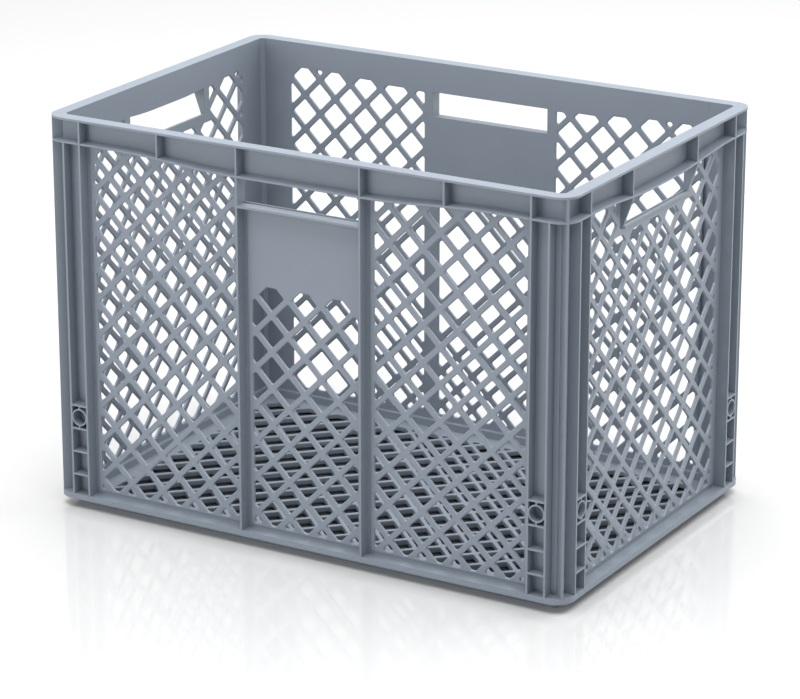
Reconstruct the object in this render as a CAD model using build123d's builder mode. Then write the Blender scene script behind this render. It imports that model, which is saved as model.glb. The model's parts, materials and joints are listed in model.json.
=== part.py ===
"""Open perforated stacking crate for moving live poultry, 600 x 400 x 420 mm.

The real crate is one plastic moulding.  Its regions are kept as separate solids that meet face
to face: floor, foot, base flange, corner posts, lattice walls, ribs, hand openings and rim.

Millimetres.  Origin at the bottom centre, X along the long side, Y along the short side, Z up.
The front is the long side at -Y, and the right is the short side at +X.
"""

import math
import os

from build123d import *

os.makedirs("parts", exist_ok=True)

# Overall size
crate_length = 600.0
crate_width = 400.0
crate_height = 420.0

# Shell
wall_thickness = 2.4
rib_depth = 12.2
rib_thickness = 2.2
envelope_radius = 19.0
wall_corner_radius = 2.5
inner_corner_chamfer = 3.8
pad_height = 0.8
pad_margin = 3.4
pad_radius = 3.0

# Stacking foot and floor
foot_clearance = 2.5
foot_thickness = 2.5
foot_radius = 6.0
floor_low = 2.0
floor_top = 8.0
floor_border = 16.0
floor_bar_width = 5.0

# Base flange
flange_low = 10.0
flange_top = 16.0
flange_plate = 2.4
flange_lip = 2.4

# Hand openings
opening_half = 70.6
opening_height = 34.8
ledge_thickness = 2.4
end_ledge_reach = 3.0
bead_height = 1.2
bead_width = 1.6
wing_tip = 1.0

# Rim: its lower edge starts to dip at a distance from the corner post, and is lowest within a
# distance of the middle of the side
rim_plate = 2.4
rim_shelf = 2.0
rim_band = 26.2
rim_dip = 6.6
long_dip_start = 42.0
long_dip_end = 74.6
short_dip_start = 8.0
short_dip_end = 23.5
rim_rib = 2.0
long_rim_ribs = (opening_half, 164.0)
short_rim_ribs = (opening_half,)
rim_pad_clearance = 1.0

# Corner posts: distances of the two ribs from the corner, and the ladder between them
near_rib = 22.5
far_rib = 42.0
corner_rib = 2.8
strip_margin = 0.3
ladder_pitch = 25.3
ladder_first = 38.0
ladder_webs = 4
web_thickness = 2.0
boss_wall = 1.6
boss_overlap = 0.6
tie_thickness = 1.6
cell_margin = 2.4

# Lattice: node to node along and up the wall, the width of a bar, and the plain margins
lattice_pitch = 38.5
bar_width = 6.2
hole_radius = 2.0
least_hole = 5.5
long_post_margin = 8.0
short_post_margin = 12.0
rib_margin = 8.2
low_margin = 6.8
rim_margin = 1.6
label_field = 81.0
end_strip = 6.6

# Worked out from the sizes above
inner_inset = rib_depth + wall_thickness
foot_inset = inner_inset + foot_clearance
floor_inset = foot_inset + foot_thickness
rim_low = crate_height - rim_band
ledge_top = rim_low - opening_height
ledge_low = ledge_top - ledge_thickness
post_reach = far_rib + rib_thickness / 2
long_field = crate_length / 2 - post_reach
short_field = crate_width / 2 - post_reach

# The two sides that are modelled: turn about Z, distance from the centre, half length, and
# where the rim's lower edge starts to dip and is lowest, from the middle of the side
LONG = (0, crate_width / 2, crate_length / 2, long_field - long_dip_start, long_dip_end)
SHORT = (90, crate_length / 2, crate_width / 2, short_field - short_dip_start, short_dip_end)


def side_plane(side, inset):
    """Plane of one side, inset from the envelope: local x runs along the side and y runs up."""
    turn, distance = side[:2]
    outward = Vector(0, -1, 0).rotate(Axis.Z, turn)
    along = Vector(1, 0, 0).rotate(Axis.Z, turn)
    return Plane(origin=outward * (distance - inset), x_dir=along, z_dir=outward)


def side_field(side):
    """Half the length between a side's two corner posts."""
    return long_field if side is LONG else short_field


def save(piece, name):
    piece.label = name
    export_step(piece, f"parts/{name}.step")


def save_both(piece, name, opposite_name):
    """Save a piece, and its copy turned half round to the opposite side."""
    save(piece, name)
    save(piece.rotate(Axis.Z, 180), opposite_name)


# Outlines


def ring(outer, outer_radius, inner, inner_radius):
    """Plan face between two rounded rectangles, each inset from the envelope."""
    with BuildSketch() as plan:
        RectangleRounded(crate_length - 2 * outer, crate_width - 2 * outer, outer_radius)
        inner_size = (crate_length - 2 * inner, crate_width - 2 * inner)
        RectangleRounded(*inner_size, inner_radius, mode=Mode.SUBTRACT)
    return plan.sketch


def mitre(side):
    """Plan face of the part of the base that belongs to one side, mitred at the corners."""
    distance, half = side[1:3]
    depth = 2 * floor_inset
    points = [(-half, -distance), (half, -distance), (half - depth, depth - distance)]
    points.append((depth - half, depth - distance))
    with BuildSketch() as plan:
        Polygon(*points, align=None)
    return plan.sketch.rotate(Axis.Z, side[0])


def box_face(left, right, low, high):
    with BuildSketch() as area:
        with Locations(((left + right) / 2, (low + high) / 2)):
            Rectangle(right - left, high - low)
    return area.sketch


def pad_face(left, right, low, high, radius=pad_radius, margin=pad_margin):
    """Rounded face that stays a margin inside a pocket."""
    width = right - left - 2 * margin
    height = high - low - 2 * margin
    with BuildSketch() as area:
        with Locations(((left + right) / 2, (low + high) / 2)):
            RectangleRounded(width, height, min(radius, 0.49 * width, 0.49 * height))
    return area.sketch


def rim_edge_height(side, x):
    """Height of the rim's lower edge at distance x from the middle of a side."""
    outer, inner = side[3:5]
    share = min(max((outer - abs(x)) / (outer - inner), 0.0), 1.0)
    return rim_low - rim_dip * (1 - math.cos(math.pi * share)) / 2


def under_rim(side, left, right, low, rise=0.0):
    """Face between two places on a side, from a height up to the rim's lower edge."""
    field = side_field(side)
    steps = 48
    xs = [field * (2 * i / steps - 1) for i in range(steps + 1)]
    edge = [(x, rim_edge_height(side, x) + rise) for x in xs]
    with BuildSketch() as area:
        with BuildLine():
            Spline(*edge)
            Polyline(edge[-1], (field, 0), (-field, 0), edge[0])
        make_face()
        add(box_face(left, right, low, crate_height), mode=Mode.INTERSECT)
    return area.sketch


def above_rim_edge(side, left, right, rise, high):
    """Face between two places on a side, from the rim's lower edge, raised, to a height."""
    with BuildSketch() as area:
        add(box_face(left, right, 1.0, high))
        add(under_rim(side, left, right, 0.0, rise), mode=Mode.SUBTRACT)
    return area.sketch


# Lattice holes


def clipped(points, normal, limit):
    """Part of a convex outline whose component along normal is under a limit."""
    kept = []
    for (ax, ay), (bx, by) in zip(points, points[1:] + points[:1]):
        a = ax * normal[0] + ay * normal[1] - limit
        b = bx * normal[0] + by * normal[1] - limit
        if a <= 0:
            kept.append((ax, ay))
        if a * b < 0:
            share = a / (a - b)
            kept.append((ax + (bx - ax) * share, ay + (by - ay) * share))
    return kept


def rounding(points):
    """Largest corner radius that a convex outline takes, up to hole_radius."""
    count = len(points)
    needs = []
    for i in range(count):
        before, here, after = points[i - 1], points[i], points[(i + 1) % count]
        into = math.atan2(here[1] - before[1], here[0] - before[0])
        out = math.atan2(after[1] - here[1], after[0] - here[0])
        turn = abs((out - into + math.pi) % (2 * math.pi) - math.pi)
        needs.append(math.tan(turn / 2))
    limits = []
    for i in range(count):
        after = (i + 1) % count
        limits.append(math.dist(points[i], points[after]) / (needs[i] + needs[after]))
    return min(hole_radius, 0.9 * min(limits))


def large_enough(points):
    """Whether a clipped outline is still a hole: wide and high enough, with room to round it."""
    if len(points) < 3:
        return False
    spans = [max(values) - min(values) for values in zip(*points)]
    return min(spans) > least_hole and rounding(points) > hole_radius / 6


def lattice_holes(left, right, low, high, base, bar, limits=None):
    """Diamond holes between the bars, cut straight at the field's edges and rounded.

    Bars cross at (0, base) and every lattice_pitch from there, and halfway between.  The limits
    of a hole, from the place of its middle, give its own left, right and top edges."""
    half = lattice_pitch / 2
    reach = half - bar / math.sqrt(2)
    columns = range(math.floor(left / half) - 1, math.ceil(right / half) + 2)
    rows = range(math.floor((low - base) / half) - 1, math.ceil((high - base) / half) + 2)
    with BuildSketch() as holes:
        for cx, cy in [(i * half, base + j * half) for i in columns for j in rows if (i + j) % 2]:
            outline = [(cx + reach, cy), (cx, cy + reach), (cx - reach, cy), (cx, cy - reach)]
            start, end, top = limits(cx, cy) if limits else (left, right, high)
            for normal, limit in (((1, 0), end), ((-1, 0), -start), ((0, -1), -low), ((0, 1), top)):
                outline = clipped(outline, normal, limit)
            if not large_enough(outline):
                continue
            hole = Polygon(*outline, align=None, mode=Mode.PRIVATE).face()
            add(hole.fillet_2d(rounding(outline), hole.vertices()))
    return holes.sketch


# Walls


def wall_panel(side, outline, pad, holes):
    """Wall plate with a raised pad on its outer face, and holes through both."""
    with BuildPart() as panel:
        with BuildSketch(side_plane(side, inner_inset)):
            add(outline)
        extrude(amount=wall_thickness)
        with BuildSketch(side_plane(side, rib_depth)):
            add(pad)
        extrude(amount=pad_height)
        with BuildSketch(side_plane(side, inner_inset)):
            add(holes)
        extrude(amount=wall_thickness + pad_height, mode=Mode.SUBTRACT)
    return panel.part


def long_holes(left, right):
    """Holes of a long side's field, from its foot up to the rim's lower edge."""

    def limits(x, y):
        return left, right, rim_edge_height(LONG, x) - rim_margin

    low = flange_top + low_margin
    return lattice_holes(left, right, low, crate_height, flange_top, bar_width, limits)


def short_holes():
    """Holes of a short side's wall: under its ledge, and up to the rim beside the opening."""
    inner = opening_half + rib_thickness / 2 + rib_margin
    outer = short_field - short_post_margin
    under = ledge_low - end_strip
    half = lattice_pitch / 2

    def limits(x, y):
        top = rim_edge_height(SHORT, x) - rim_margin
        if y + half < under:
            return -outer, outer, top
        if abs(x) < inner and y - half < under:
            return -outer, outer, under
        return (inner, outer, top) if x > 0 else (-outer, -inner, top)

    low = flange_top + low_margin
    return lattice_holes(-outer, outer, low, crate_height, flange_top, bar_width, limits)


def long_lattice():
    """Lattice wall between a middle rib and the corner post of a long side."""
    left = opening_half + rib_thickness / 2
    right = long_field
    holes = long_holes(left + rib_margin, right - long_post_margin)
    pad_low = flange_top + pad_margin
    pad = under_rim(LONG, left + pad_margin, right - pad_margin, pad_low, -rim_margin)
    return wall_panel(LONG, under_rim(LONG, left, right, flange_top), pad, holes)


def long_middle():
    """Middle wall of a long side: a plain label field over lattice, under the hand opening."""
    half = opening_half - rib_thickness / 2
    field = half - rib_margin
    low = flange_top + low_margin
    holes = lattice_holes(-field, field, low, ledge_low - label_field, flange_top, bar_width)
    outline = box_face(-half, half, flange_top, ledge_low)
    pad = pad_face(-half, half, flange_top, ledge_low)
    return wall_panel(LONG, outline, pad, holes)


def short_lattice():
    """Lattice wall of a short side, up to the underside of its ledge."""
    half = short_field
    outline = box_face(-half, half, flange_top, ledge_low)
    pad = box_face(-half + pad_margin, half - pad_margin, flange_top + pad_margin, ledge_low)
    return wall_panel(SHORT, outline, pad, short_holes())


def short_cheek():
    """Lattice wall beside the hand opening of a short side, over short_lattice."""
    left = opening_half + rib_thickness / 2
    right = short_field
    pad = under_rim(SHORT, left + pad_margin, right - pad_margin, ledge_low, -rim_margin)
    return wall_panel(SHORT, under_rim(SHORT, left, right, ledge_low), pad, short_holes())


# Ribs and hand openings


def long_rib():
    """Full-height rib of a long side, from the base flange to the rim."""
    left = opening_half - rib_thickness / 2
    right = opening_half + rib_thickness / 2
    with BuildPart() as rib:
        with BuildSketch(side_plane(LONG, inner_inset)):
            add(under_rim(LONG, left, right, flange_top))
        extrude(amount=inner_inset)
    return rib.part


def ledge(side, reach):
    """Ledge under a hand opening, with a bead along the inner face of the wall."""
    half = opening_half - rib_thickness / 2
    with BuildPart() as shelf:
        with BuildSketch(side_plane(side, inner_inset)):
            add(box_face(-half, half, ledge_low, ledge_top))
        extrude(amount=reach + wall_thickness)
        with BuildSketch(side_plane(side, inner_inset)):
            add(box_face(-half, half, ledge_top, ledge_top + bead_height))
        extrude(amount=bead_width)
    return shelf.part


def wing():
    """Tapered rib at the end of a short side's hand opening."""
    left = opening_half - rib_thickness / 2
    right = opening_half + rib_thickness / 2
    distance = SHORT[1]
    lowest = rim_low - rim_dip
    slope = [
        (distance - inner_inset, ledge_low),
        (distance - rib_depth + wing_tip, ledge_low),
        (distance, lowest),
        (distance, crate_height),
        (distance - inner_inset, crate_height),
    ]
    with BuildPart() as fin:
        with BuildSketch(side_plane(SHORT, inner_inset)):
            add(under_rim(SHORT, left, right, ledge_low))
        extrude(amount=inner_inset)
        with BuildSketch(Plane.XZ.offset(-right)):
            Polygon(*slope, align=None)
        extrude(amount=rib_thickness, mode=Mode.INTERSECT)
    return fin.part


# Rim


def rim_side(side, ribs):
    """Straight rim of one side: wall band, top plate, lower shelf and the ribs between them."""
    field = side_field(side)
    marks = sorted([-field, field, *ribs, *[-rib for rib in ribs]])
    plate_low = crate_height - rim_plate
    with BuildPart() as rim:
        with BuildSketch(side_plane(side, inner_inset)):
            add(above_rim_edge(side, -field, field, 0.0, crate_height))
        extrude(amount=wall_thickness)
        with BuildSketch(side_plane(side, rib_depth)):
            add(box_face(-field, field, plate_low, crate_height))
            add(above_rim_edge(side, -field, field, 0.0, plate_low))
            add(above_rim_edge(side, -field, field, rim_shelf, plate_low), mode=Mode.SUBTRACT)
            for mark in marks[1:-1]:
                left = mark - rim_rib / 2
                right = mark + rim_rib / 2
                add(above_rim_edge(side, left, right, 0.0, crate_height))
        extrude(amount=rib_depth)
        with BuildSketch(side_plane(side, rib_depth)):
            for start, end in zip(marks, marks[1:]):
                add(rim_pad(side, start, end))
        extrude(amount=pad_height)
    return rim.part


def rim_pad(side, start, end):
    """Raised pad on the floor of a rim pocket."""
    low_rise = rim_shelf + pad_margin / 2
    high = crate_height - rim_plate - rim_pad_clearance
    with BuildSketch() as pad:
        add(above_rim_edge(side, start + pad_margin, end - pad_margin, low_rise, high))
        fillet(pad.vertices(), pad_radius / 2)
    return pad.sketch


# Corner posts


def post_plan(low_inset, high_inset, start, end):
    """Plan boxes on both faces of the corner, between two insets and two distances along it."""
    side_x = crate_length / 2
    side_y = crate_width / 2
    with BuildSketch() as plan:
        add(box_face(side_x - end, side_x - start, low_inset - side_y, high_inset - side_y))
        add(box_face(side_x - high_inset, side_x - low_inset, start - side_y, end - side_y))
    return plan.sketch


def corner_wall():
    """Plan of the wall round one corner, with a chamfer on the inside."""
    side_x = crate_length / 2
    side_y = crate_width / 2
    with BuildSketch() as plan:
        add(post_plan(rib_depth, inner_inset, rib_depth, post_reach))
        corner = plan.vertices().sort_by(Axis.X)[-2:].sort_by(Axis.Y)[:1]
        fillet(corner, wall_corner_radius)
        inner = Vector(side_x - inner_inset, inner_inset - side_y)
        chamfer(plan.vertices().sort_by_distance(inner)[:1], inner_corner_chamfer)
    return plan.sketch


def envelope_corner():
    """Plan of the whole corner region inside the crate's rounded envelope."""
    with BuildSketch() as plan:
        RectangleRounded(crate_length, crate_width, envelope_radius)
        add(post_plan(0.0, post_reach, 0.0, post_reach), mode=Mode.INTERSECT)
    return plan.sketch


def corner_fins(distances, thickness):
    with BuildSketch() as plan:
        for distance in distances:
            add(post_plan(0.0, rib_depth, distance - thickness / 2, distance + thickness / 2))
    return plan.sketch


def diagonal_fin():
    """Plan of the rib that runs out at 45 degrees, from inside the wall's corner."""
    middle_x = (crate_length - inner_inset) / 2
    middle_y = (inner_inset - crate_width) / 2
    with BuildSketch() as plan:
        with Locations((middle_x, middle_y)):
            Rectangle(inner_inset * math.sqrt(2), corner_rib, rotation=-45)
        add(envelope_corner(), mode=Mode.INTERSECT)
    return plan.sketch


def post_span(side, near, far):
    """Two distances from the front right corner, as sorted places along a modelled side."""
    towards_corner = 1 if side is LONG else -1
    return sorted(towards_corner * (side[2] - distance) for distance in (near, far))


def ladder_cell(side):
    """Places along a side of the two rib faces that the ladder spans."""
    return post_span(side, near_rib + rib_thickness / 2, far_rib - rib_thickness / 2)


def ladder(side):
    """Webs, boss and its two ties, on one face of the post, as a face in that side's plane."""
    left, right = ladder_cell(side)
    middle = (left + right) / 2
    webs = [ladder_first + i * ladder_pitch for i in range(ladder_webs)]
    boss_height = (webs[-1] + webs[-2]) / 2
    boss_radius = (right - left) / 2 + boss_overlap
    with BuildSketch() as face:
        add(box_face(middle - tie_thickness / 2, middle + tie_thickness / 2, webs[-2], webs[-1]))
        for web in webs:
            add(box_face(left, right, web - web_thickness / 2, web + web_thickness / 2))
        with Locations((middle, boss_height)):
            Circle(boss_radius)
            Circle(boss_radius - boss_wall, mode=Mode.SUBTRACT)
        add(box_face(left, right, flange_top, crate_height), mode=Mode.INTERSECT)
    return face.sketch


def post_pads(side):
    """Pads in the ladder's open cells, in the channel above it, and beside the corner rib."""
    left, right = ladder_cell(side)
    half_web = web_thickness / 2
    webs = [ladder_first + i * ladder_pitch for i in range(ladder_webs)]
    marks = [flange_top - half_web, *webs[:-1]]
    strip = post_span(side, near_rib - rib_thickness / 2, rib_depth + wall_corner_radius)
    strip_low = flange_top + cell_margin
    strip_high = rim_low - cell_margin
    with BuildSketch() as face:
        for low, high in zip(marks, marks[1:]):
            add(pad_face(left, right, low + half_web, high - half_web, margin=cell_margin))
        add(pad_face(left, right, webs[-1] + half_web, rim_low, margin=cell_margin))
        add(pad_face(*strip, strip_low, strip_high, radius=near_rib, margin=strip_margin))
    return face.sketch


def corner_post():
    """Front right corner post: wall, five ribs, two ladders with bosses, and the rim's corner."""
    with BuildPart() as post:
        with BuildSketch(Plane.XY.offset(flange_top)):
            add(corner_wall())
        extrude(amount=crate_height - flange_top)
        with BuildSketch(Plane.XY.offset(flange_top)):
            add(corner_fins([near_rib, far_rib], rib_thickness))
            add(diagonal_fin())
        extrude(amount=rim_low - flange_top)
        with BuildSketch(Plane.XY.offset(rim_low)):
            add(corner_fins([far_rib], rib_thickness))
            add(diagonal_fin())
        extrude(amount=rim_band)
        for low, thickness in ((rim_low, rim_shelf), (crate_height - rim_plate, rim_plate)):
            with BuildSketch(Plane.XY.offset(low)):
                add(envelope_corner())
                add(post_plan(inner_inset, post_reach, inner_inset, post_reach), mode=Mode.SUBTRACT)
            extrude(amount=thickness)
        for side in (LONG, SHORT):
            with BuildSketch(side_plane(side, rib_depth)):
                add(ladder(side))
            extrude(amount=rib_depth)
            with BuildSketch(side_plane(side, rib_depth)):
                add(post_pads(side))
            extrude(amount=pad_height)
    return post.part


# Base


def base_flange(side):
    """Base flange of one side: a plate over the foot, with a lip down its outer edge."""
    with BuildPart() as flange:
        with BuildSketch(Plane.XY.offset(flange_top - flange_plate)):
            add(ring(0.0, envelope_radius, floor_inset, foot_radius - foot_thickness))
            add(mitre(side), mode=Mode.INTERSECT)
        extrude(amount=flange_plate)
        with BuildSketch(Plane.XY.offset(flange_low)):
            add(ring(0.0, envelope_radius, flange_lip, envelope_radius - flange_lip))
            add(mitre(side), mode=Mode.INTERSECT)
        extrude(amount=flange_top - flange_plate - flange_low)
    return flange.part


def stacking_foot(side):
    """Foot of one side, which drops inside the rim of the crate below."""
    with BuildPart() as foot:
        with BuildSketch():
            add(ring(foot_inset, foot_radius, floor_inset, foot_radius - foot_thickness))
            add(mitre(side), mode=Mode.INTERSECT)
        extrude(amount=flange_top - flange_plate)
    return foot.part


def floor_lattice():
    """Floor of diagonal bars inside a plain border."""
    half_x = crate_length / 2 - floor_inset
    half_y = crate_width / 2 - floor_inset
    field_x = half_x - floor_border
    field_y = half_y - floor_border
    with BuildPart() as floor:
        with BuildSketch(Plane.XY.offset(floor_low)):
            RectangleRounded(2 * half_x, 2 * half_y, foot_radius - foot_thickness)
            holes = lattice_holes(-field_x, field_x, -field_y, field_y, 0.0, floor_bar_width)
            add(holes, mode=Mode.SUBTRACT)
        extrude(amount=floor_top - floor_low)
    return floor.part


# Make and save every piece

save(floor_lattice(), "floor_lattice")
for side, name, opposite in ((LONG, "front", "back"), (SHORT, "right", "left")):
    save_both(base_flange(side), f"base_flange_{name}", f"base_flange_{opposite}")
    save_both(stacking_foot(side), f"stacking_foot_{name}", f"stacking_foot_{opposite}")

post = corner_post()
save_both(post, "corner_post_front_right", "corner_post_back_left")
save_both(post.mirror(Plane.YZ), "corner_post_front_left", "corner_post_back_right")

lattice = long_lattice()
save_both(lattice, "lattice_front_right", "lattice_back_left")
save_both(lattice.mirror(Plane.YZ), "lattice_front_left", "lattice_back_right")
save_both(long_middle(), "middle_wall_front", "middle_wall_back")

rib = long_rib()
save_both(rib, "rib_front_right", "rib_back_left")
save_both(rib.mirror(Plane.YZ), "rib_front_left", "rib_back_right")

save_both(short_lattice(), "lattice_right", "lattice_left")
cheek = short_cheek()
save_both(cheek, "cheek_right_back", "cheek_left_front")
save_both(cheek.mirror(Plane.XZ), "cheek_right_front", "cheek_left_back")
fin = wing()
save_both(fin, "wing_right_back", "wing_left_front")
save_both(fin.mirror(Plane.XZ), "wing_right_front", "wing_left_back")

save_both(ledge(LONG, rib_depth), "ledge_front", "ledge_back")
save_both(ledge(SHORT, end_ledge_reach), "ledge_right", "ledge_left")
save_both(rim_side(LONG, long_rim_ribs), "rim_front", "rim_back")
save_both(rim_side(SHORT, short_rim_ribs), "rim_right", "rim_left")
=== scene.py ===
import json
import math

import bpy
from mathutils import Matrix, Vector

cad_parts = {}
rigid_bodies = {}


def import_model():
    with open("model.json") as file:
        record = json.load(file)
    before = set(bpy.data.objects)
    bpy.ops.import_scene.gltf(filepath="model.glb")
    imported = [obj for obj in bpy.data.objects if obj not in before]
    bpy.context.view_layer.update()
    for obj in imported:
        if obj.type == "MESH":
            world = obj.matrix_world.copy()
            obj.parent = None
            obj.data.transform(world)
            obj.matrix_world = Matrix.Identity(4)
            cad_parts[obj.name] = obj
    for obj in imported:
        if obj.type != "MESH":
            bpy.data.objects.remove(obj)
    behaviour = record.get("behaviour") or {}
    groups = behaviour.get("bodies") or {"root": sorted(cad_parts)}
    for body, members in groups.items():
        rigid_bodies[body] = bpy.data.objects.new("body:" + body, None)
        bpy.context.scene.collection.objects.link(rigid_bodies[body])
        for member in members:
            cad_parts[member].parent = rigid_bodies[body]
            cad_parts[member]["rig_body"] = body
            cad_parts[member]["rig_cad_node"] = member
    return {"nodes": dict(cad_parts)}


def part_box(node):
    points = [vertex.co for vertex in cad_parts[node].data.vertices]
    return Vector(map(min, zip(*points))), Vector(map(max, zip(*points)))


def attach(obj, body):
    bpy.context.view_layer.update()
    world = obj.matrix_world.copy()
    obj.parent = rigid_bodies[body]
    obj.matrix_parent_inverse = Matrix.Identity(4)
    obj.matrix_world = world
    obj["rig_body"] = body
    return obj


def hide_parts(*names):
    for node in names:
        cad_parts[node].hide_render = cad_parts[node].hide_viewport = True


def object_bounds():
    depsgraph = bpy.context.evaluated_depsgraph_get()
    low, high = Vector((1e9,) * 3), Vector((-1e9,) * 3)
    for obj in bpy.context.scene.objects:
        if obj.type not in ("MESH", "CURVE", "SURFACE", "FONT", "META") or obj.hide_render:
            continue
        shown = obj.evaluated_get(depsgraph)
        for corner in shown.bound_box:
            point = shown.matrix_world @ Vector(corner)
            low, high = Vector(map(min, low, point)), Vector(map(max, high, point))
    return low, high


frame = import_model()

# Open lattice crate for moving poultry, moulded in one piece from grey plastic.
#
# The moulding's plain parts (posts, ribs, ledges, rim, flange and foot) are merged copies of the
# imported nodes, joined into one skin.  The lattice walls and the floor are new panels with rounded
# bars.  The walls join the skin, which is then cut into one piece for each wall and post.  The
# plastic's shader rounds what sharp edges are left.
#
# Metres.  X runs along the long sides, Y along the short sides, Z up, origin at the bottom centre.

for leftover in ("Cube", "Light", "Camera"):
    if leftover in bpy.data.objects:
        bpy.data.objects.remove(bpy.data.objects[leftover])
cad_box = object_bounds()

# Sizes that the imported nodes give

half_length, half_width, crate_height = cad_box[1]
lattice_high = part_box("lattice_front_right")[1]
post_reach = half_length - lattice_high.x
inner_inset = half_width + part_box("middle_wall_front")[1].y
pad_inset = half_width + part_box("middle_wall_front")[0].y
flange_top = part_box("base_flange_front")[1].z
rib_low, rib_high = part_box("rib_front_right")
rib_near = rib_low.x
rib_far = rib_high.x
rib_thickness = rib_far - rib_near
ledge_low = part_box("ledge_front")[0].z
rim_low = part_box("rim_front")[0].z
floor_low, floor_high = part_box("floor_lattice")

# Sizes of the moulding's details

mm = 0.001
pad_height = 0.8 * mm
lattice_pitch = 38.5 * mm
bar_width = 6.2 * mm
hole_radius = 2.0 * mm
least_hole = 5.5 * mm
corner_steps = 3
bar_rounding = 1.1 * mm
long_post_margin = 8.0 * mm
short_post_margin = 12.0 * mm
rib_margin = 8.2 * mm
low_margin = 6.8 * mm
rim_margin = 1.6 * mm
label_field = 81.0 * mm
end_strip = 6.6 * mm
pad_margin = 3.4 * mm
pad_radius = 3.0 * mm
rim_dip = 6.6 * mm
long_dip_start = 42.0 * mm
long_dip_end = 74.6 * mm
short_dip_start = 8.0 * mm
short_dip_end = 23.5 * mm
overlap = 1.0 * mm
hidden_lap = 1.6 * mm
edge_rounding = 0.55 * mm
bump_depth = 0.8 * mm
flat_face_weight = 100
smooth_angle = math.radians(20)
sliver = 0.004 * mm
merge_distance = 0.001 * mm
beyond = 10.0 * mm
floor_border = 16.0 * mm
floor_bar_width = 4.8 * mm
floor_rounding = 1.1 * mm

long_field = half_length - post_reach
short_field = half_width - post_reach
wall_depth = inner_inset - pad_inset
plate_depth = wall_depth - pad_height
rim_corner_low = rim_low + rim_dip

# Each kind of side: distance from the centre, half the length between its posts, and where the
# rim's lower edge starts to dip and is lowest
LONG = (half_width, long_field, long_field - long_dip_start, long_dip_end)
SHORT = (half_length, short_field, short_field - short_dip_start, short_dip_end)
SIDES = {"front": (LONG, 0), "right": (SHORT, 90), "back": (LONG, 180), "left": (SHORT, 270)}


# Working with objects


def select_only(*objects):
    bpy.ops.object.select_all(action="DESELECT")
    for item in objects:
        item.select_set(True)
    bpy.context.view_layer.objects.active = objects[0]


def edit(item):
    """Open an object in edit mode with its whole mesh selected."""
    select_only(item)
    bpy.ops.object.mode_set(mode="EDIT")
    bpy.ops.mesh.select_all(action="SELECT")


def leave_edit():
    bpy.ops.object.mode_set(mode="OBJECT")


def merge_doubles(item):
    edit(item)
    bpy.ops.mesh.remove_doubles(threshold=merge_distance)
    bpy.ops.mesh.normals_make_consistent(inside=False)
    leave_edit()


def join_solid(target, other, operation="UNION", keep=False):
    """Boolean one closed shape with another, which goes unless it is kept."""
    step = target.modifiers.new("boolean", "BOOLEAN")
    step.operation = operation
    step.solver = "MANIFOLD"
    step.object = other
    select_only(target)
    bpy.ops.object.modifier_apply(modifier=step.name)
    if not keep:
        bpy.data.objects.remove(other)
    return target


def node_copy(name):
    """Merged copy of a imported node, for reshaping."""
    select_only(frame["nodes"][name])
    bpy.ops.object.duplicate()
    copy = bpy.context.active_object
    copy.parent = None
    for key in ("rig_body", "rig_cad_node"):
        if key in copy:
            del copy[key]
    merge_doubles(copy)
    return copy


# Outlines, as lists of (x, y) that run anticlockwise


def clipped(points, normal, limit):
    """Part of a convex outline whose component along normal is under a limit."""
    kept = []
    for (ax, ay), (bx, by) in zip(points, points[1:] + points[:1]):
        a = ax * normal[0] + ay * normal[1] - limit
        b = bx * normal[0] + by * normal[1] - limit
        if a <= 0:
            kept.append((ax, ay))
        if a * b < 0:
            share = a / (a - b)
            kept.append((ax + (bx - ax) * share, ay + (by - ay) * share))
    return kept


def corner_turns(points):
    """Angle that an outline turns through at each corner."""
    turns = []
    for before, here, after in zip(points[-1:] + points[:-1], points, points[1:] + points[:1]):
        into = math.atan2(here[1] - before[1], here[0] - before[0])
        out = math.atan2(after[1] - here[1], after[0] - here[0])
        turns.append((out - into + math.pi) % (2 * math.pi) - math.pi)
    return turns


def largest_radius(points):
    """Largest corner radius that a convex outline takes, up to hole_radius."""
    needs = [math.tan(turn / 2) for turn in corner_turns(points)]
    following = points[1:] + points[:1]
    limits = []
    for i, (here, after) in enumerate(zip(points, following)):
        limits.append(math.dist(here, after) / (needs[i] + needs[(i + 1) % len(points)]))
    return min(hole_radius, 0.9 * min(limits))


def large_enough(points):
    """Whether a clipped outline is still a hole: wide and high enough, with room to round it."""
    if len(points) < 3:
        return False
    spans = [max(values) - min(values) for values in zip(*points)]
    return min(spans) > least_hole and largest_radius(points) > hole_radius / 6


def rounded(points, radii):
    """Outline with an arc at each corner that has a radius."""
    outline = []
    turns = corner_turns(points)
    for i, (here, turn, radius) in enumerate(zip(points, turns, radii)):
        if radius == 0:
            outline.append(here)
            continue
        before = Vector(points[i - 1])
        corner = Vector(here)
        into = (corner - before).normalized()
        start = corner - into * radius * math.tan(turn / 2)
        centre = start + Vector((-into.y, into.x)) * radius
        arm = start - centre
        for step in range(corner_steps + 1):
            spoke = Matrix.Rotation(turn * step / corner_steps, 2) @ arm
            outline.append(tuple(centre + spoke))
    return outline


def rectangle(left, right, low, high):
    return [(left, low), (right, low), (right, high), (left, high)]


def rim_edge_height(side, x):
    """Height of the rim's lower edge at distance x from the middle of a side."""
    outer, inner = side[2:4]
    share = min(max((outer - abs(x)) / (outer - inner), 0.0), 1.0)
    return rim_corner_low - rim_dip * (1 - math.cos(math.pi * share)) / 2


def rim_edge(side, left, right, rise, steps=24):
    """Points along the rim's lower edge from right to left, raised a little."""
    places = [right + (left - right) * step / steps for step in range(steps + 1)]
    return [(x, rim_edge_height(side, x) + rise) for x in places]


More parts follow.
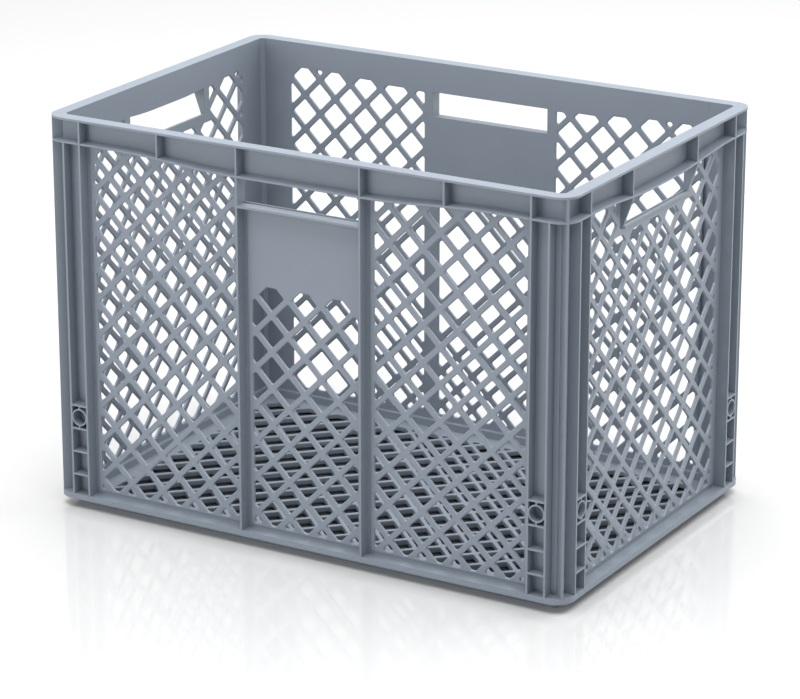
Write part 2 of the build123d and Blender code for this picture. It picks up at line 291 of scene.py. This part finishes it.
def lattice_holes(left, right, low, high, base, bar, limits=None):
    """Diamond holes between the bars, cut straight at the field's edges and rounded.

    Bars cross at (0, base) and every lattice_pitch from there, and halfway between.  The limits
    of a hole, from the place of its middle, give its own left, right and top edges."""
    half = lattice_pitch / 2
    reach = half - bar / math.sqrt(2)
    columns = range(math.floor(left / half) - 1, math.ceil(right / half) + 2)
    rows = range(math.floor((low - base) / half) - 1, math.ceil((high - base) / half) + 2)
    holes = []
    for x, y in [(i * half, base + j * half) for i in columns for j in rows if (i + j) % 2]:
        outline = [(x + reach, y), (x, y + reach), (x - reach, y), (x, y - reach)]
        start, end, top = limits(x, y) if limits else (left, right, high)
        for normal, limit in (((1, 0), end), ((-1, 0), -start), ((0, -1), -low), ((0, 1), top)):
            outline = clipped(outline, normal, limit)
        if large_enough(outline):
            holes.append(rounded(outline, [largest_radius(outline)] * len(outline)))
    return holes


def long_holes(left, right):
    """Holes of a long side's field, from its foot up to the rim's lower edge."""

    def limits(x, y):
        return left, right, rim_edge_height(LONG, x) - rim_margin

    low = flange_top + low_margin
    return lattice_holes(left, right, low, crate_height, flange_top, bar_width, limits)


def short_holes():
    """Holes of a short side's wall: under its ledge, and up to the rim beside the opening."""
    inner = rib_far + rib_margin
    outer = short_field - short_post_margin
    under = ledge_low - end_strip
    half = lattice_pitch / 2

    def limits(x, y):
        top = rim_edge_height(SHORT, x) - rim_margin
        if y + half < under:
            return -outer, outer, top
        if abs(x) < inner and y - half < under:
            return -outer, outer, under
        return (inner, outer, top) if x > 0 else (-outer, -inner, top)

    low = flange_top + low_margin
    return lattice_holes(-outer, outer, low, crate_height, flange_top, bar_width, limits)


# Panels


def slab(name, outlines, depth, rounding, steps=1):
    """Flat closed shape with holes and rounded edges, its back face on z = 0."""
    curve = bpy.data.curves.new(name, "CURVE")
    curve.dimensions = "2D"
    curve.fill_mode = "BOTH"
    curve.extrude = depth / 2 - rounding
    curve.bevel_depth = rounding
    curve.bevel_resolution = steps
    curve.offset = -rounding
    for outline in outlines:
        spline = curve.splines.new("POLY")
        spline.points.add(len(outline) - 1)
        for point, (x, y) in zip(spline.points, outline):
            point.co = (x, y, 0, 1)
        spline.use_cyclic_u = True
    item = bpy.data.objects.new(name, curve)
    bpy.context.scene.collection.objects.link(item)
    select_only(item)
    bpy.ops.object.convert(target="MESH")
    item = bpy.context.active_object
    item.location.z = depth / 2
    bpy.ops.object.transform_apply(location=True, rotation=False, scale=False)
    merge_doubles(item)
    return item


def strip(left, right, low, high):
    """Plain edge of a wall plate, between a raised pad and what the wall runs into."""
    bpy.ops.mesh.primitive_cube_add(
        size=1,
        location=((left + right) / 2, (low + high) / 2, plate_depth / 2),
        scale=(right - left, high - low, plate_depth),
    )
    bpy.ops.object.transform_apply(location=True, rotation=False, scale=True)
    return bpy.context.active_object


def side_matrix(side, turn):
    """Place of a panel: x along the side, y up, z outwards from the wall's inner face."""
    spin = Matrix.Rotation(math.radians(turn), 4, "Z")
    inner_face = inner_inset - side[0]
    upright = Matrix(((1, 0, 0, 0), (0, 0, -1, inner_face), (0, 1, 0, 0), (0, 0, 0, 1)))
    return spin @ upright


def placed(item, side, turn):
    """Copy of a panel, moved to a side."""
    select_only(item)
    bpy.ops.object.duplicate()
    copy = bpy.context.active_object
    copy.matrix_world = side_matrix(side, turn)
    bpy.ops.object.transform_apply(location=True, rotation=True, scale=True)
    return copy


def long_lattice_parts(mirror):
    """Pad and plate edges of the lattice wall between a middle rib and a post."""
    left = rib_far
    right = long_field
    low = flange_top
    holes = long_holes(left + rib_margin, right - long_post_margin)
    pad = rectangle(left + pad_margin, right - pad_margin, low + pad_margin, rim_low)[:2]
    pad += rim_edge(LONG, left + pad_margin, right - pad_margin, overlap)
    radii = [pad_radius, pad_radius] + [0] * (len(pad) - 2)
    outlines = [rounded(pad, radii), *holes]
    inside_rib = left - rib_thickness / 2
    edges = [
        (inside_rib, left + pad_margin + hidden_lap, low - overlap, rim_low + overlap),
        (right - pad_margin - hidden_lap, right + overlap, low - overlap, rim_corner_low + overlap),
        (inside_rib, right + overlap, low - overlap, low + pad_margin + hidden_lap),
    ]
    if mirror:
        outlines = [[(-x, y) for x, y in reversed(outline)] for outline in outlines]
        edges = [(-b, -a, c, d) for a, b, c, d in edges]
    parts = [slab("pad", outlines, wall_depth, bar_rounding)]
    return parts + [strip(*edge) for edge in edges]


def long_middle_parts():
    """Pad and plate edges of the middle wall: a plain field over lattice, under the opening."""
    half = rib_near
    field = half - rib_margin
    low = flange_top
    holes = lattice_holes(
        -field, field, low + low_margin, ledge_low - label_field, low, bar_width
    )
    inner = half - pad_margin
    outline = rectangle(-inner, inner, low + pad_margin, ledge_low - pad_margin)
    parts = [slab("pad", [rounded(outline, [pad_radius] * 4), *holes], wall_depth, bar_rounding)]
    reach = half + rib_thickness / 2
    lap = pad_margin + hidden_lap
    parts.append(strip(-reach, reach, low - overlap, low + lap))
    parts.append(strip(-reach, reach, ledge_low - lap, ledge_low + overlap))
    parts.append(strip(-reach, lap - half, low - overlap, ledge_low + overlap))
    parts.append(strip(half - lap, reach, low - overlap, ledge_low + overlap))
    return parts


def short_wall_parts():
    """Pad and plate edges of a short side's wall, which runs up beside the hand opening."""
    half = short_field
    low = flange_top
    edge = half - pad_margin
    notch = rib_far + pad_margin
    pad = [(-edge, low + pad_margin), (edge, low + pad_margin)]
    pad += rim_edge(SHORT, notch, edge, overlap)
    pad += [(notch, ledge_low + overlap), (-notch, ledge_low + overlap)]
    pad += rim_edge(SHORT, -edge, -notch, overlap)
    radii = [pad_radius, pad_radius] + [0] * (len(pad) - 2)
    outlines = [rounded(pad, radii), *short_holes()]
    parts = [slab("pad", outlines, wall_depth, bar_rounding)]
    lap = pad_margin + hidden_lap
    top = rim_corner_low + overlap
    parts.append(strip(-half - overlap, half + overlap, low - overlap, low + lap))
    parts.append(strip(-half - overlap, lap - half, low - overlap, top))
    parts.append(strip(half - lap, half + overlap, low - overlap, top))
    wing_top = rim_edge_height(SHORT, rib_far) + overlap
    parts.append(strip(rib_near, rib_far + lap, ledge_low - overlap, wing_top))
    parts.append(strip(-rib_far - lap, -rib_near, ledge_low - overlap, wing_top))
    return parts


# Skin of the plain parts


def build_skin():
    """Posts, ribs, wings, ledges, rim, flange and foot as one closed skin."""
    remade = ("lattice", "cheek", "middle_wall", "floor")
    names = sorted(name for name in frame["nodes"] if not name.startswith(remade))
    skin = node_copy(names[0])
    for name in names[1:]:
        join_solid(skin, node_copy(name))
    return skin


def build_panels(skin):
    """Join the lattice walls of all four sides to the skin."""
    panels = {
        "front": long_lattice_parts(False) + long_lattice_parts(True) + long_middle_parts(),
        "right": short_wall_parts(),
    }
    for kind, opposite in (("front", "back"), ("right", "left")):
        for part in panels[kind]:
            for name in (kind, opposite):
                side, turn = SIDES[name]
                join_solid(skin, placed(part, side, turn))
            bpy.data.objects.remove(part)


# Pieces


def cut_out(skin, name, low, high):
    """New piece: the part of the skin inside a box."""
    middle = [(a + b) / 2 for a, b in zip(low, high)]
    size = [b - a for a, b in zip(low, high)]
    bpy.ops.mesh.primitive_cube_add(size=1, location=middle, scale=size)
    bpy.ops.object.transform_apply(location=True, rotation=False, scale=True)
    piece = bpy.context.active_object
    piece.name = name
    piece.data.name = name
    return join_solid(piece, skin, "INTERSECT", keep=True)


def smooth(item):
    """Round edges shade smoothly, and flat faces keep their own direction."""
    edit(item)
    bpy.ops.mesh.remove_doubles(threshold=sliver)
    bpy.ops.mesh.dissolve_degenerate(threshold=sliver)
    leave_edit()
    bpy.ops.mesh.customdata_custom_splitnormals_clear()
    bpy.ops.object.shade_smooth_by_angle(angle=smooth_angle)
    step = item.modifiers.new("weighted", "WEIGHTED_NORMAL")
    step.keep_sharp = True
    step.weight = flat_face_weight
    bpy.ops.object.modifier_apply(modifier=step.name)


def build_floor():
    """Floor of diagonal bars with rounded tops, lapped into the foot round it."""
    half_x = floor_high.x - floor_border
    half_y = floor_high.y - floor_border
    holes = lattice_holes(-half_x, half_x, -half_y, half_y, 0.0, floor_bar_width)
    edge_x = floor_high.x + overlap
    edge_y = floor_high.y + overlap
    edge = rectangle(-edge_x, edge_x, -edge_y, edge_y)
    outlines = [rounded(edge, [hole_radius] * 4), *holes]
    floor = slab("floor", outlines, floor_high.z - floor_low.z, floor_rounding)
    floor.location.z = floor_low.z
    bpy.ops.object.transform_apply(location=True, rotation=False, scale=False)
    return floor


# Nodes that each wall stands for, besides its base flange, ledge, rim and stacking foot
WALL_NODES = {
    "front": ("lattice_front_left", "lattice_front_right", "middle_wall_front",
              "rib_front_left", "rib_front_right"),
    "back": ("lattice_back_left", "lattice_back_right", "middle_wall_back",
             "rib_back_left", "rib_back_right"),
    "left": ("lattice_left", "cheek_left_back", "cheek_left_front",
             "wing_left_back", "wing_left_front"),
    "right": ("lattice_right", "cheek_right_back", "cheek_right_front",
              "wing_right_back", "wing_right_front"),
}

skin = build_skin()
build_panels(skin)

# The skin is cut on planes at the posts' inner faces
far_x = half_length + beyond
far_y = half_width + beyond
top = crate_height + beyond
wall_boxes = {
    "front": ((-long_field, -far_y, -beyond), (long_field, -short_field, top)),
    "back": ((-long_field, short_field, -beyond), (long_field, far_y, top)),
    "left": ((-far_x, -short_field, -beyond), (-long_field, short_field, top)),
    "right": ((long_field, -short_field, -beyond), (far_x, short_field, top)),
}
pieces = []
for side, (low, high) in wall_boxes.items():
    wall = cut_out(skin, f"wall_{side}", low, high)
    shared = [f"{part}_{side}" for part in ("base_flange", "ledge", "rim", "stacking_foot")]
    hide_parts(*shared, *WALL_NODES[side])
    pieces.append(wall)
for end, sign_y in (("front", -1), ("back", 1)):
    for hand, sign_x in (("left", -1), ("right", 1)):
        xs = sorted((sign_x * long_field, sign_x * far_x))
        ys = sorted((sign_y * short_field, sign_y * far_y))
        post = cut_out(skin, f"post_{end}_{hand}", (xs[0], ys[0], -beyond), (xs[1], ys[1], top))
        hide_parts(f"corner_post_{end}_{hand}")
        pieces.append(post)
bpy.data.objects.remove(skin)
floor = build_floor()
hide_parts("floor_lattice")
pieces.append(floor)


# Shader writing


class Value:
    """Number socket that takes part in Python expressions."""

    def __init__(self, tree, socket):
        self.tree = tree
        self.socket = socket

    def math(self, operation, first, second):
        node = self.tree.nodes.new("ShaderNodeMath")
        node.operation = operation
        for socket, value in zip(node.inputs, (first, second)):
            if isinstance(value, Value):
                self.tree.links.new(value.socket, socket)
            else:
                socket.default_value = value
        return Value(self.tree, node.outputs[0])

    def __add__(self, other):
        return self.math("ADD", self, other)

    def __radd__(self, other):
        return self.math("ADD", other, self)

    def __mul__(self, other):
        return self.math("MULTIPLY", self, other)

    def __rmul__(self, other):
        return self.math("MULTIPLY", other, self)


class Shader:
    """Node tree of a new material, with one method that adds any node."""

    def __init__(self, name):
        self.material = bpy.data.materials.new(name)
        self.material.use_nodes = True
        self.tree = self.material.node_tree
        self.surface = self.tree.nodes["Principled BSDF"]

    def node(self, kind, settings, **values):
        node = self.tree.nodes.new(kind)
        for key, value in settings.items():
            setattr(node, key, value)
        self.fill(node, values)
        return node

    def fill(self, node, values):
        for key, value in values.items():
            socket = node.inputs[key.replace("_", " ")]
            if isinstance(value, Value):
                self.tree.links.new(value.socket, socket)
            elif isinstance(value, bpy.types.NodeSocket):
                self.tree.links.new(value, socket)
            else:
                socket.default_value = value

    def noise(self, scale, detail):
        place = self.node("ShaderNodeTexCoord", {}).outputs["Object"]
        node = self.node("ShaderNodeTexNoise", {}, Vector=place, Scale=scale, Detail=detail)
        return Value(self.tree, node.outputs["Fac"])


# Noise patterns: (scale, detail)
FLOW_CLOUDS = (9.0, 3.0)
FINE_GRAIN = (1600.0, 2.0)
WAVES = (45.0, 1.0)

# The Mix node's colour sockets, which share their names with its number sockets
MIX_A = 6
MIX_B = 7
MIX_RESULT = 2


def moulded_plastic(name, dark, light):
    """Satin injection-moulded plastic: faint flow clouds, fine grain and slight waviness."""
    shader = Shader(name)
    clouds = shader.noise(*FLOW_CLOUDS)
    grain = shader.noise(*FINE_GRAIN)
    waves = shader.noise(*WAVES)
    blend = shader.node(
        "ShaderNodeMix", {"data_type": "RGBA"}, Factor=clouds * 0.8 + grain * 0.2
    )
    blend.inputs[MIX_A].default_value = dark
    blend.inputs[MIX_B].default_value = light
    height = waves * 0.15 + grain * 0.012
    edges = shader.node("ShaderNodeBevel", {"samples": 4}, Radius=edge_rounding)
    bump = shader.node(
        "ShaderNodeBump",
        {},
        Height=height,
        Strength=0.25,
        Distance=bump_depth,
        Normal=edges.outputs["Normal"],
    )
    shader.fill(shader.surface, {
        "Base Color": blend.outputs[MIX_RESULT],
        "Roughness": 0.38 + clouds * 0.08 + grain * 0.06,
        "Normal": bump.outputs["Normal"],
        "Specular IOR Level": 0.5,
    })
    return shader.material


dark_grey = (0.188, 0.219, 0.261, 1)
light_grey = (0.212, 0.247, 0.292, 1)
plastic = moulded_plastic("grey_plastic", dark_grey, light_grey)
for piece in pieces:
    smooth(piece)
    piece.data.materials.clear()
    piece.data.materials.append(plastic)
    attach(piece, "root")


# Studio


def studio_floor():
    bpy.ops.mesh.primitive_plane_add(size=floor_size, location=(0, 0, 0))
    sheet = bpy.context.active_object
    sheet.name = "studio_floor"
    shader = Shader("pale_floor")
    shader.fill(shader.surface, {
        "Base Color": (0.61, 0.61, 0.61, 1),
        "Roughness": 0.045,
        "IOR": 1.85,
    })
    sheet.data.materials.append(shader.material)


def shade_under_crate():
    """Dark ground inside the foot, where the holes of the floor look down on unlit ground."""
    bpy.ops.mesh.primitive_plane_add(size=2, location=(0, 0, shade_lift))
    sheet = bpy.context.active_object
    sheet.scale = (floor_high.x, floor_high.y, 1)
    bpy.ops.object.transform_apply(location=True, rotation=False, scale=True)
    sheet.name = "ground_shade"
    shader = Shader("unlit_ground")
    shader.fill(shader.surface, {"Base Color": (0.02, 0.023, 0.028, 1), "Roughness": 0.9})
    sheet.data.materials.append(shader.material)


def softbox(name, place, aim, size, power):
    light = bpy.data.lights.new(name, "AREA")
    light.shape = "RECTANGLE"
    light.size, light.size_y = size
    light.energy = power
    lamp = bpy.data.objects.new(name, light)
    lamp.location = place
    lamp.rotation_mode = "QUATERNION"
    lamp.rotation_quaternion = (Vector(aim) - Vector(place)).to_track_quat("-Z", "Y")
    bpy.context.scene.collection.objects.link(lamp)


def studio_air():
    world = bpy.data.worlds.new("studio_air")
    world.use_nodes = True
    air = world.node_tree.nodes["Background"]
    air.inputs["Color"].default_value = (1.0, 1.0, 1.0, 1)
    air.inputs["Strength"].default_value = air_strength
    bpy.context.scene.world = world


def studio_camera():
    camera = bpy.data.cameras.new("camera")
    camera.lens = camera_lens
    camera.sensor_width = sensor_width
    camera.clip_end = clip_end
    holder = bpy.data.objects.new("camera", camera)
    turn = math.radians(camera_azimuth)
    tilt = math.radians(camera_elevation)
    level = math.cos(tilt)
    back = Vector((math.sin(turn) * level, -math.cos(turn) * level, math.sin(tilt)))
    holder.location = Vector(camera_target) + back * camera_distance
    holder.rotation_euler = (math.pi / 2 - tilt, 0, turn)
    bpy.context.scene.collection.objects.link(holder)
    bpy.context.scene.camera = holder


floor_size = 30.0
shade_lift = 0.3 * mm
air_strength = 0.55
sensor_width = 36.0
clip_end = 100.0
camera_lens = 158.92
camera_azimuth = 30.418
camera_elevation = 18.847
camera_target = (0.0192, -0.0347, 0.1765)
camera_distance = 3.62

studio_floor()
shade_under_crate()
studio_air()
softbox("overhead", (0.0, 0.3, 3.0), (0, 0, 0.2), (5.0, 5.0), 260.0)
softbox("back_panel", (2.0, 5.5, 1.9), (0, 0, 0.3), (9.0, 3.4), 190.0)
softbox("front_fill", (-1.6, -3.4, 1.2), (0, 0, 0.2), (2.0, 1.6), 40.0)
studio_camera()
bpy.context.scene.view_settings.view_transform = "Standard"
